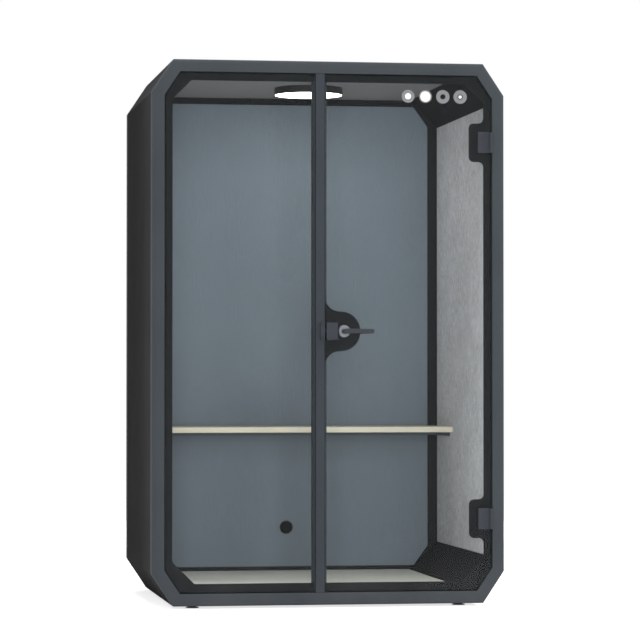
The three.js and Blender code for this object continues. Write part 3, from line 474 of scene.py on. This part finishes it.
# %% [markdown]
# Every solid gets one finish, and a radius in millimetres for its edges. Folded sheets, felt and glass keep
# a radius of 0 here, because their edges are hidden, come with a piece below, or are polished square. The
# choice could sit in the frame, but a table shows at a glance which pieces are of the same stuff.

# %% Table of finishes
EASE = {
    "front_frame": (FRAME_PAINT, 0.8), "rear_frame": (FRAME_PAINT, 0.8), "mullion": (MULLION_PAINT, 0.5),
    "reveal_plate": (BLACK_PAINT, 0.5), "rear_skin": (SKIN_PAINT, 0), "right_skin": (SKIN_PAINT, 0),
    "left_skin": (SKIN_PAINT, 0), "roof_skin": (SKIN_PAINT, 0), "base_pan": (SKIN_PAINT, 0),
    "right_core": (WOOL, 0), "left_core": (WOOL, 0), "roof_core": (WOOL, 0), "rear_core": (WOOL, 0),
    "left_felt": (WALL_FELT, 0), "right_felt": (WALL_FELT, 0), "ceiling_felt": (CEILING_FELT_PAINTED_SHADE, 0),
    "back_panel": (BACK_FELT, 0), "back_trim": (BLACK_PAINT, 0.8), "cable_grommet": (RUBBER, 0.6),
    "bottom_left_cover": (BLACK_PAINT, 0), "bottom_right_cover": (BLACK_PAINT, 0),
    "top_left_cover": (BLACK_PAINT, 0), "top_right_cover": (BLACK_PAINT, 0),
    "carpet": (CARPET, 0), "floor_deck": (PLYWOOD, 0), "base_frame": (PLYWOOD, 0),
    "fixed_glass": (GLASS, 0), "door_glass": (GLASS, 0), "fixed_glass_gasket": (SEAL_RUBBER, 0),
    "door_seal": (SEAL_RUBBER, 0),
    "lock_case": (HARDWARE_PAINT, 1.0), "latch_keep": (MULLION_PAINT, 0.8), "latch_bolt": (STEEL, 0.4),
    "outer_rosette": (CHROME, 0.6), "inner_rosette": (CHROME, 0.6),
    "outer_lever": (LEVER_COAT, 1.4), "inner_lever": (LEVER_COAT, 1.4),
    "lamp_housing": (PLASTIC, 1.0), "led_board": (WHITE_ACRYLIC, 0), "lamp_diffuser": (LIT_OPAL, 0.5),
    "desktop": (OAK, 0.6), "desk_rail": (RAIL_PAINT, 0.5), "switch_plate": (PLASTIC, 1.0),
    "light_button": (WHITE_ACRYLIC, 0.8),
}
for level in ("upper", "lower"):
    for fitting, ease in (("leaf", 0.5), ("clamp", 0.8), ("back_plate", 0.6)):
        EASE[f"{level}_hinge_{fitting}"] = (HARDWARE_PAINT, ease)
    EASE[f"{level}_hinge_pin"] = (STEEL, 0.4)
for corner in ("front_left", "front_right", "rear_left", "rear_right"):
    EASE[f"{corner}_foot"] = (PLASTIC, 0.6)
for side in ("left", "right"):
    EASE[f"{side}_fan_frame"] = (PLASTIC, 0)
    EASE[f"{side}_fan_rotor"] = (PLASTIC, 0)
print("solids without a finish:", sorted(set(NODES) - set(EASE)))

# %% [markdown]
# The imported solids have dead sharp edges. On the real booth a bent sheet has a small radius and a painted
# edge catches the light. The solid's mesh stays as it is, and a stack of modifiers eases it: weld the
# facets, merge the flat ones, and bevel what is left.

# %% Eased edges
WELD = 0.02 * MM
FLAT = math.radians(1.0)
SHARP = math.radians(30.0)
EASE_SEGMENTS = 2


def finish_solid(name, material, ease):
    solid = NODES[name]
    solid.data.materials.clear()
    solid.data.materials.append(material)
    facet_normals = solid.data.attributes.get("custom_normal")
    if facet_normals:
        solid.data.attributes.remove(facet_normals)
    weld = solid.modifiers.new("weld", "WELD")
    weld.merge_threshold = WELD
    if not ease:
        return
    solid.data.polygons.foreach_set("use_smooth", [True] * len(solid.data.polygons))
    flat = solid.modifiers.new("flat faces", "DECIMATE")
    flat.decimate_type = "DISSOLVE"
    flat.angle_limit = FLAT
    edge = solid.modifiers.new("eased edges", "BEVEL")
    edge.width = ease * MM
    edge.segments = EASE_SEGMENTS
    edge.limit_method = "ANGLE"
    edge.angle_limit = SHARP
    edge.harden_normals = True


for name, (material, ease) in EASE.items():
    finish_solid(name, material, ease)
print("finished solids:", len(EASE))

# %% [markdown]
# Print and screws start from outlines that the solids already have. A pane's outline is the hull of its
# points seen from the front, which leaves out the bores, and points on a straight side are dropped. The
# outline can then be moved inwards side by side, and arcs can be let into it.

# %% Outlines
DIGITS = 5
STRAIGHT = 0.01
ARC_STEPS = 14


def pane_corners(name):
    """The corners of a pane seen from the front, anticlockwise, without its holes."""
    places = {(round(v.co.x, DIGITS), round(v.co.z, DIGITS)) for v in NODES[name].data.vertices}
    points = [Vector(place) for place in sorted(places)]
    hull = [points[i] for i in convex_hull_2d(points)]
    kept = []
    for i, here in enumerate(hull):
        before, after = hull[i - 1], hull[(i + 1) % len(hull)]
        if abs((here - before).normalized().cross((after - here).normalized())) > STRAIGHT:
            kept.append(here)
    area = sum(kept[i - 1].cross(kept[i]) for i in range(len(kept)))
    return kept if area > 0 else kept[::-1]


def offset_outline(corners, width_of_side):
    """Moves every side of an outline inwards by the width that a function gives for it."""
    lines = []
    for i, start in enumerate(corners):
        end = corners[(i + 1) % len(corners)]
        along = (end - start).normalized()
        inward = Vector((-along.y, along.x))
        lines.append((start + inward * width_of_side(start, end, inward), along))
    moved = []
    for i, (start, along) in enumerate(lines):
        before, before_along = lines[i - 1]
        reach = (start - before).cross(along) / before_along.cross(along)
        moved.append(before + before_along * reach)
    return moved


def arc(centre, radius, first, last):
    turns = [math.radians(first + (last - first) * i / ARC_STEPS) for i in range(ARC_STEPS + 1)]
    return [centre + radius * Vector((math.cos(t), math.sin(t))) for t in turns]


def box_middle(name):
    low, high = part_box(name)
    return (low + high) / 2


print("corners of the door pane:", len(pane_corners("door_glass")))

# %% [markdown]
# The black border hides the seals behind the glass. It runs round both panes two fingers wide, swells at
# the two hinges and makes a round apron behind the lock, with soft hollow corners where it leaves the
# border. The clear part of the door is one closed path: up the hinge side and down the lock side.

# %% The clear part of the panes
BORDER = 30 * MM
BOTTOM_BORDER = 36 * MM
MULLION_BORDER = 0.4 * MM
LEVEL = 0.99
NEAR = 1 * MM
HINGE_APRON = 63 * MM
HINGE_APRON_MARGIN = 37 * MM
APRON_ROUND = 22 * MM
LOCK_APRON = 84 * MM
LOCK_HOLLOW = 61 * MM
LOCK_APRON_X = 50 * MM


def printed_hole(corners, mullion_x):
    """The clear part of a pane: the border is wider at the bottom and narrow at the mullion."""
    def width(start, end, inward):
        if abs(start.x - mullion_x) < NEAR and abs(end.x - mullion_x) < NEAR:
            return MULLION_BORDER
        return BOTTOM_BORDER if inward.y > LEVEL else BORDER

    return offset_outline(corners, width)


def hinge_apron(x, z, half):
    """The way up the right side of the hole, round one hinge."""
    left = x - HINGE_APRON + APRON_ROUND
    hollow = x - APRON_ROUND
    return [
        *arc(Vector((hollow, z - half - APRON_ROUND)), APRON_ROUND, 0, 90),
        *arc(Vector((left, z - half + APRON_ROUND)), APRON_ROUND, 270, 180),
        *arc(Vector((left, z + half - APRON_ROUND)), APRON_ROUND, 180, 90),
        *arc(Vector((hollow, z + half + APRON_ROUND)), APRON_ROUND, 270, 360),
    ]


def lock_apron(x, z):
    """The way down the left side of the hole, round the lock."""
    hollow = x + LOCK_HOLLOW
    reach = LOCK_APRON + LOCK_HOLLOW
    return [
        *arc(Vector((hollow, z + reach)), LOCK_HOLLOW, 180, 270),
        *arc(Vector((LOCK_APRON_X, z)), LOCK_APRON, 90, -90),
        *arc(Vector((hollow, z - reach)), LOCK_HOLLOW, 90, 180),
    ]


def door_hole(corners):
    """The clear part of the door, with the aprons let into its two upright sides."""
    hole = printed_hole(corners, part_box("door_glass")[0].x)
    right = max(p.x for p in hole)
    left = min(p.x for p in hole)
    hinges = []
    for level in ("lower", "upper"):
        bottom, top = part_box(f"{level}_hinge_back_plate")
        half = (top.z - bottom.z) / 2 + HINGE_APRON_MARGIN
        hinges += hinge_apron(right, (bottom.z + top.z) / 2, half)
    lock = lock_apron(left, box_middle("outer_rosette").z)
    start = next(i for i, p in enumerate(hole) if abs(p.x - right) < NEAR and p.y < hinges[0].y)
    turned = hole[start:] + hole[:start]
    falling = next(i for i, p in enumerate(turned) if abs(p.x - left) < NEAR and p.y > lock[0].y)
    return [turned[0], *hinges, *turned[1:falling + 1], *lock, *turned[falling + 1:]]


print("points of the door's clear part:", len(door_hole(pane_corners("door_glass"))))

# %% [markdown]
# The border is a flat outline with one hole, so a filled two-dimensional curve draws it with true arcs, and
# a little extrusion gives the film its body. Painting it in the glass material would need a mask image.
# Each piece rides on a body and hides the solids it stands for.

# %% Printed borders
FILM = 0.08 * MM
UPRIGHT = Matrix.Rotation(math.radians(90), 4, "X")


def add_piece(name, mesh, material, body, slot, *solids):
    mesh.materials.clear()
    mesh.materials.append(material)
    piece = bpy.data.objects.new(name, mesh)
    put_in_scene(piece)
    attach(piece, body)
    if solids:
        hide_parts(*solids)
    return piece


def film(name, loops, y, material, body, slot):
    """A flat printed shape on a pane: the first loop is its outline and the others are holes."""
    data = bpy.data.curves.new(name, "CURVE")
    data.dimensions = "2D"
    data.fill_mode = "BOTH"
    data.extrude = FILM / 2
    for loop in loops:
        spline = data.splines.new("POLY")
        spline.points.add(len(loop) - 1)
        spline.use_cyclic_u = True
        for point, place in zip(spline.points, loop):
            point.co = (place.x, place.y, 0.0, 1.0)
    drawn = bpy.data.objects.new(name + "_outline", data)
    mesh = bpy.data.meshes.new_from_object(drawn)
    bpy.data.objects.remove(drawn)
    mesh.transform(Matrix.Translation((0.0, y, 0.0)) @ UPRIGHT)
    mesh.name = name
    return add_piece(name, mesh, material, body, slot)


def add_borders():
    print_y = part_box("door_glass")[1].y + FILM
    door = pane_corners("door_glass")
    border = film("door_print", [door, door_hole(door)], print_y, PRINT, "door", "black_paint")
    fixed = pane_corners("fixed_glass")
    clear = printed_hole(fixed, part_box("fixed_glass")[1].x)
    film("fixed_print", [fixed, clear], print_y, PRINT, "shell", "black_paint")
    return len(border.data.polygons)


print("faces of the door's border:", add_borders())

# %% [markdown]
# Beside the mullion the fixed pane has a narrow grey strip of film along its edge, and a rubber bead fills
# the joint. Such a bead is extruded, so its section is the same all the way up: a round nose to the front
# and a square back. It could be a curve with a profile, but two rings of points do it.

# %% Strip and bead at the mullion
MULLION_STRIP = 6 * MM
STRIP_MARGIN = 0.3 * MM
BEAD_GAP = 5 * MM
BEAD_PLAY = 0.2 * MM
BEAD_SINK = 0.1 * MM


def baked(name, shape):
    mesh = bpy.data.meshes.new(name)
    shape.to_mesh(mesh)
    shape.free()
    return mesh


def add_mullion_strip():
    low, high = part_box("fixed_glass")
    right = high.x - STRIP_MARGIN
    left = right - MULLION_STRIP
    bottom, top = low.z + BOTTOM_BORDER, high.z - BORDER
    strip = [Vector((left, bottom)), Vector((right, bottom)), Vector((right, top)), Vector((left, top))]
    film("mullion_strip", [strip], low.y - FILM, GREY_PRINT, "shell", "black_paint")


def add_bead():
    low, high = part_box("fixed_glass")
    radius = BEAD_GAP / 2 - BEAD_PLAY
    middle = high.x + BEAD_GAP / 2
    nose = arc(Vector((middle, low.y + BEAD_SINK + radius)), radius, 180, 360)
    section = [*nose, Vector((middle + radius, high.y)), Vector((middle - radius, high.y))]
    shape = bmesh.new()
    rings = [[shape.verts.new((p.x, p.y, z)) for p in section] for z in (low.z, high.z)]
    for i in range(len(section)):
        j = (i + 1) % len(section)
        shape.faces.new((rings[0][i], rings[0][j], rings[1][j], rings[1][i]))
    shape.faces.new(rings[0][::-1])
    shape.faces.new(rings[1])
    add_piece("glazing_bead", baked("glazing_bead", shape), SEAL_RUBBER, "shell", "rubber")
    return 2 * radius


add_mullion_strip()
print("glazing bead in mm:", round(add_bead() / MM, 1))

# %% [markdown]
# High on the door glass sit four small marks in a row. Here they are plain rings of frosted film and dots
# of white film on the outer face. They could be painted in the glass material, but as pieces they keep a
# crisp edge in every view.

# %% Marks on the door
MARK_RADIUS = 28 * MM
MARK_DROP = 85 * MM
MARK_PITCH = 75 * MM
MARK_END = 131 * MM
# Material, outer share of the radius and inner share, which is 0 for a dot.
MARKS = (
    ((FROSTED_FILM, 1.0, 0.5), (WHITE_ACRYLIC, 0.46, 0.0)),
    ((FROSTED_FILM, 1.0, 0.82), (WHITE_ACRYLIC, 0.78, 0.0)),
    ((FROSTED_FILM, 1.05, 0.4),),
    ((FROSTED_FILM, 1.05, 0.4), (WHITE_ACRYLIC, 0.24, 0.0)),
)


def add_marks():
    low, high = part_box("door_glass")
    for i, rings in enumerate(MARKS):
        from_last = (len(MARKS) - 1 - i) * MARK_PITCH
        centre = Vector((high.x - MARK_END - from_last, high.z - MARK_DROP))
        for material, outer, inner in rings:
            loops = [arc(centre, MARK_RADIUS * share, 0, 360)[:-1] for share in (outer, inner) if share]
            kind = "ring" if inner else "dot"
            film(f"door_mark_{i + 1}_{kind}", loops, low.y - FILM, material, "door", "opal")
    return len(MARKS)


print("marks:", add_marks())

# %% [markdown]
# Felt is soft, so the plain solids of the lining give way to modelled boards. A felt board is die-cut and
# its rim is a little crushed, so each board is its own solid with every edge rolled over. Its broad faces
# stay flat to the eye, because the normals are weighed by the size of the faces.

# %% Felt boards
BOARD_ROUND = 3 * MM
BOARD_SEGMENTS = 3
ROUND_PROFILE = 0.5
BOARDS = {
    "left_felt": (WALL_FELT, "wall_felt"), "right_felt": (WALL_FELT, "wall_felt"),
    "ceiling_felt": (CEILING_FELT_PAINTED_SHADE, "ceiling_felt"), "back_panel": (BACK_FELT, "back_felt"),
}


def smooth(shape):
    for face in shape.faces:
        face.smooth = True
    return shape


def rolled_board(solid_name):
    """A solid's own outline with its facets merged and its edges rolled over."""
    shape = bmesh.new()
    shape.from_mesh(NODES[solid_name].data)
    bmesh.ops.remove_doubles(shape, verts=shape.verts, dist=WELD)
    bmesh.ops.dissolve_limit(shape, angle_limit=FLAT, verts=shape.verts, edges=shape.edges)
    rim = [edge for edge in shape.edges if edge.calc_face_angle(0.0) > SHARP]
    bmesh.ops.bevel(shape, geom=rim, offset=BOARD_ROUND, segments=BOARD_SEGMENTS, profile=ROUND_PROFILE,
                    affect="EDGES")
    return smooth(shape)


def add_boards():
    for solid, (material, slot) in BOARDS.items():
        name = solid + "_board"
        board = add_piece(name, baked(name, rolled_board(solid)), material, "shell", slot, solid)
        rim = board.modifiers.new("flat faces stay flat", "WEIGHTED_NORMAL")
        rim.keep_sharp = True
    return len(BOARDS)


print("felt boards:", add_boards())

# %% [markdown]
# The carpet is a loop pile in rows: a fine grid whose height follows the rows and a little noise, rolled
# down at its rim. Hair particles could grow a pile too, but loops are short and tight, and a displaced
# sheet shows them at a fraction of the weight.

# %% Carpet pile
PILE_PITCH = 7 * MM
PILE_DEPTH = 1.6 * MM
ROW_PITCH = 2 * PILE_PITCH
ROW_SHARE = 0.45
RIM_DROP = 2 * PILE_DEPTH


def pile_height(x, y):
    """0 between the loops to 1 on top of them."""
    row = (1 + math.cos(2 * math.pi * x / ROW_PITCH)) / 2
    rough = (1 + noise.noise(Vector((x, y, 0.0)) / PILE_PITCH)) / 2
    return ROW_SHARE * row + (1 - ROW_SHARE) * rough


def loop_pile(solid_name):
    """A closed slab whose top is a grid of loops, rolled down at its rim."""
    low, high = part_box(solid_name)
    middle, size = (low + high) / 2, high - low
    across, deep = round(size.x / PILE_PITCH), round(size.y / PILE_PITCH)
    shape = bmesh.new()
    bmesh.ops.create_grid(shape, x_segments=across, y_segments=deep, size=0.5)
    for vert in shape.verts:
        x = middle.x + vert.co.x * size.x
        y = middle.y + vert.co.y * size.y
        drop = RIM_DROP if vert.is_boundary else PILE_DEPTH * (1 - pile_height(x, y))
        vert.co = (x, y, high.z - drop)
    rim = [edge for edge in shape.edges if edge.is_boundary]
    walls = bmesh.ops.extrude_edge_only(shape, edges=rim)["geom"]
    for vert in (part for part in walls if isinstance(part, bmesh.types.BMVert)):
        vert.co.z = low.z
    foot = [part for part in walls if isinstance(part, bmesh.types.BMEdge)]
    bmesh.ops.contextual_create(shape, geom=foot)
    bmesh.ops.recalc_face_normals(shape, faces=shape.faces)
    return smooth(shape)


PILE = baked("carpet_pile", loop_pile("carpet"))
add_piece("carpet_pile", PILE, CARPET, "shell", "carpet", "carpet")
print("points of the carpet:", len(PILE.vertices))

# %% [markdown]
# A few fastenings show, and all of them are socket screws. Each head is turned from one outline, and its
# hexagon socket is a ring of points that lie on the hexagon, so the round rim and the six flats join
# without a boolean. All heads of one place are one piece.

# %% Socket screws
SCREW_POINTS = 24
SOCKET_SHARE = 0.5
HEAD_RISE = 0.35
CROWN_SHARE = 0.86
SHOULDER = 0.5
SOCKET_FLOOR = 0.2


def ring_points(radius, height, six_sided):
    points = []
    for i in range(SCREW_POINTS):
        turn = 2 * math.pi * i / SCREW_POINTS
        flat = math.cos(turn % (math.pi / 3) - math.pi / 6) / math.cos(math.pi / 6)
        reach = radius / flat if six_sided else radius
        points.append(Vector((reach * math.cos(turn), reach * math.sin(turn), height)))
    return points


def screw_head(shape, place, turned, radius):
    """One low head on a surface at `place`, with +z of its outline turned to the way it faces."""
    socket = radius * SOCKET_SHARE
    rise = radius * HEAD_RISE
    outline = [(radius, 0.0, False), (radius, rise * SHOULDER, False), (radius * CROWN_SHARE, rise, False),
               (socket, rise, True), (socket, rise * SOCKET_FLOOR, True)]
    rings = []
    for reach, height, six_sided in outline:
        points = ring_points(reach, height, six_sided)
        rings.append([shape.verts.new(place + turned @ point) for point in points])
    for lower, upper in zip(rings, rings[1:]):
        for i in range(SCREW_POINTS):
            j = (i + 1) % SCREW_POINTS
            shape.faces.new((lower[i], lower[j], upper[j], upper[i]))
    shape.faces.new(rings[-1])
    shape.faces.new(rings[0][::-1])


def add_screws(name, places, facing, radius, body):
    shape = bmesh.new()
    turned = facing.to_track_quat("Z", "Y").to_matrix()
    for place in places:
        screw_head(shape, place, turned, radius)
    add_piece(name, baked(name, shape), STEEL, body, "steel")
    return len(places)


print("points round a screw:", SCREW_POINTS)

# %% [markdown]
# The screws sit in the plates that clamp the glass, in the keep of the latch and round the sheet at the
# back. Their places come from the boxes of those solids, so they follow when a plate moves.

# %% Fastenings
BACKWARD = Vector((0.0, 1.0, 0.0))
FORWARD = Vector((0.0, -1.0, 0.0))
HINGE_SCREW = 5 * MM
HINGE_SCREW_REACH = 30 * MM
KEEP_SCREW = 3 * MM
KEEP_SCREW_REACH = 26 * MM
SHEET_SCREW = 5.5 * MM
SHEET_SCREW_MARGIN = 75 * MM
SHEET_SCREW_PITCH = 550 * MM


def plate_screws(solid_name, y, reach):
    """Two places on a face of a plate, above and below its middle."""
    middle = box_middle(solid_name)
    return [Vector((middle.x, y, middle.z + rise)) for rise in (-reach, reach)]


def around(corners, pitch):
    """Places along a closed outline, evenly spread on each side."""
    places = []
    for i, start in enumerate(corners):
        end = corners[(i + 1) % len(corners)]
        steps = max(1, round((end - start).length / pitch))
        places += [start.lerp(end, (k + 0.5) / steps) for k in range(steps)]
    return places


def add_fastenings():
    for level in ("upper", "lower"):
        plate = f"{level}_hinge_back_plate"
        places = plate_screws(plate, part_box(plate)[1].y, HINGE_SCREW_REACH)
        add_screws(f"{level}_hinge_screws", places, BACKWARD, HINGE_SCREW, "door")
    places = plate_screws("latch_keep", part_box("latch_keep")[0].y, KEEP_SCREW_REACH)
    add_screws("keep_screws", places, FORWARD, KEEP_SCREW, "shell")
    inside = offset_outline(pane_corners("rear_skin"), lambda *side: SHEET_SCREW_MARGIN)
    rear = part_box("rear_skin")[1].y
    places = [Vector((p.x, rear, p.y)) for p in around(inside, SHEET_SCREW_PITCH)]
    return add_screws("rear_skin_screws", places, BACKWARD, SHEET_SCREW, "shell")


print("screws round the back sheet:", add_fastenings())

# %% [markdown]
# The stage is a pale floor and a white world. White in the picture comes from both as the camera, mirrors
# and glass see them, and not from more light on the booth, so the paint keeps its depth.

# %% Floor and world
WHITE = (1.0, 1.0, 1.0, 1.0)
FLOOR_PAINT = (0.82, 0.82, 0.82, 1.0)
FLOOR_RADIUS = 60.0
FLOOR_POINTS = 64
FLOOR_GLOW = 0.72
WORLD_FILL = 0.36


def seen_ray(tree):
    ray = node(tree, "LightPath").outputs
    mirrored = math_node(tree, "MAXIMUM", ray["Is Glossy Ray"], ray["Is Transmission Ray"])
    return math_node(tree, "MAXIMUM", ray["Is Camera Ray"], mirrored)


def floor_material():
    made, tree, shader = surface(
        "studio_floor", Base_Color=FLOOR_PAINT, Roughness=1.0, Specular_IOR_Level=0.0, Emission_Color=WHITE)
    glow = math_node(tree, "MULTIPLY", seen_ray(tree), FLOOR_GLOW)
    tree.links.new(glow, shader.inputs["Emission Strength"])
    mirrored = node(tree, "LightPath").outputs["Is Glossy Ray"]
    white = node(tree, "Emission", {"Color": WHITE, "Strength": 1.0}).outputs[0]
    show_instead(tree, mirrored, shader, white)
    return made


def add_floor():
    shape = bmesh.new()
    bmesh.ops.create_circle(shape, cap_ends=True, segments=FLOOR_POINTS, radius=FLOOR_RADIUS)
    mesh = baked("floor", shape)
    mesh.materials.append(floor_material())
    floor = bpy.data.objects.new("floor", mesh)
    put_in_scene(floor)


def add_world():
    world = bpy.data.worlds.new("studio")
    bpy.context.scene.world = world
    world.use_nodes = True
    tree = world.node_tree
    back = tree.nodes["Background"]
    back.inputs["Color"].default_value = WHITE
    tree.links.new(spread(tree, seen_ray(tree), (0.0, 1.0), (WORLD_FILL, 1.0)), back.inputs["Strength"])


add_floor()
add_world()
print("floor across in m:", 2 * FLOOR_RADIUS)

# %% [markdown]
# The big soft box stands low in front, so it looks into the cabin and leaves the left side dark. Smaller
# ones open up the right, the roof and the back, and a narrow strip close to the left side lets it fade
# into the front ring. None of them shows in the picture or in the glass.

# %% Soft boxes
AIM = Vector((0.0, 0.0, 1.15))
# Place in metres, power in watts and side in metres.
SOFT_BOXES = {
    "key": (Vector((-1.1, -9.5, 1.3)), 460.0, 2.4),
    "fill": (Vector((1.6, -9.5, 4.1)), 120.0, 1.6),
    "rim": (Vector((5.0, -1.5, 3.6)), 240.0, 2.0),
    "top": (Vector((-0.9, -1.0, 6.0)), 220.0, 2.0),
    "back": (Vector((0.6, 7.0, 2.6)), 170.0, 2.0),
}
STRIP_PLACE = Vector((-1.05, -0.5, 1.25))
STRIP_FACING = Vector((1.0, 0.0, 0.0))
STRIP_POWER = 1.9
STRIP_WIDTH = 0.05
STRIP_HEIGHT = 2.5


def add_soft_box(name, place, facing, power, width, height):
    data = bpy.data.lights.new(name, "AREA")
    data.shape = "RECTANGLE"
    data.size = width
    data.size_y = height
    data.energy = power
    light = bpy.data.objects.new(name, data)
    light.location = place
    light.rotation_mode = "QUATERNION"
    light.rotation_quaternion = facing.to_track_quat("-Z", "Y")
    light.visible_camera = False
    light.visible_glossy = False
    light.visible_transmission = False
    put_in_scene(light)


for name, (place, power, side) in SOFT_BOXES.items():
    add_soft_box(name, place, AIM - place, power, side, side)
add_soft_box("strip", STRIP_PLACE, STRIP_FACING, STRIP_POWER, STRIP_WIDTH, STRIP_HEIGHT)
print("soft boxes:", len(bpy.data.lights))
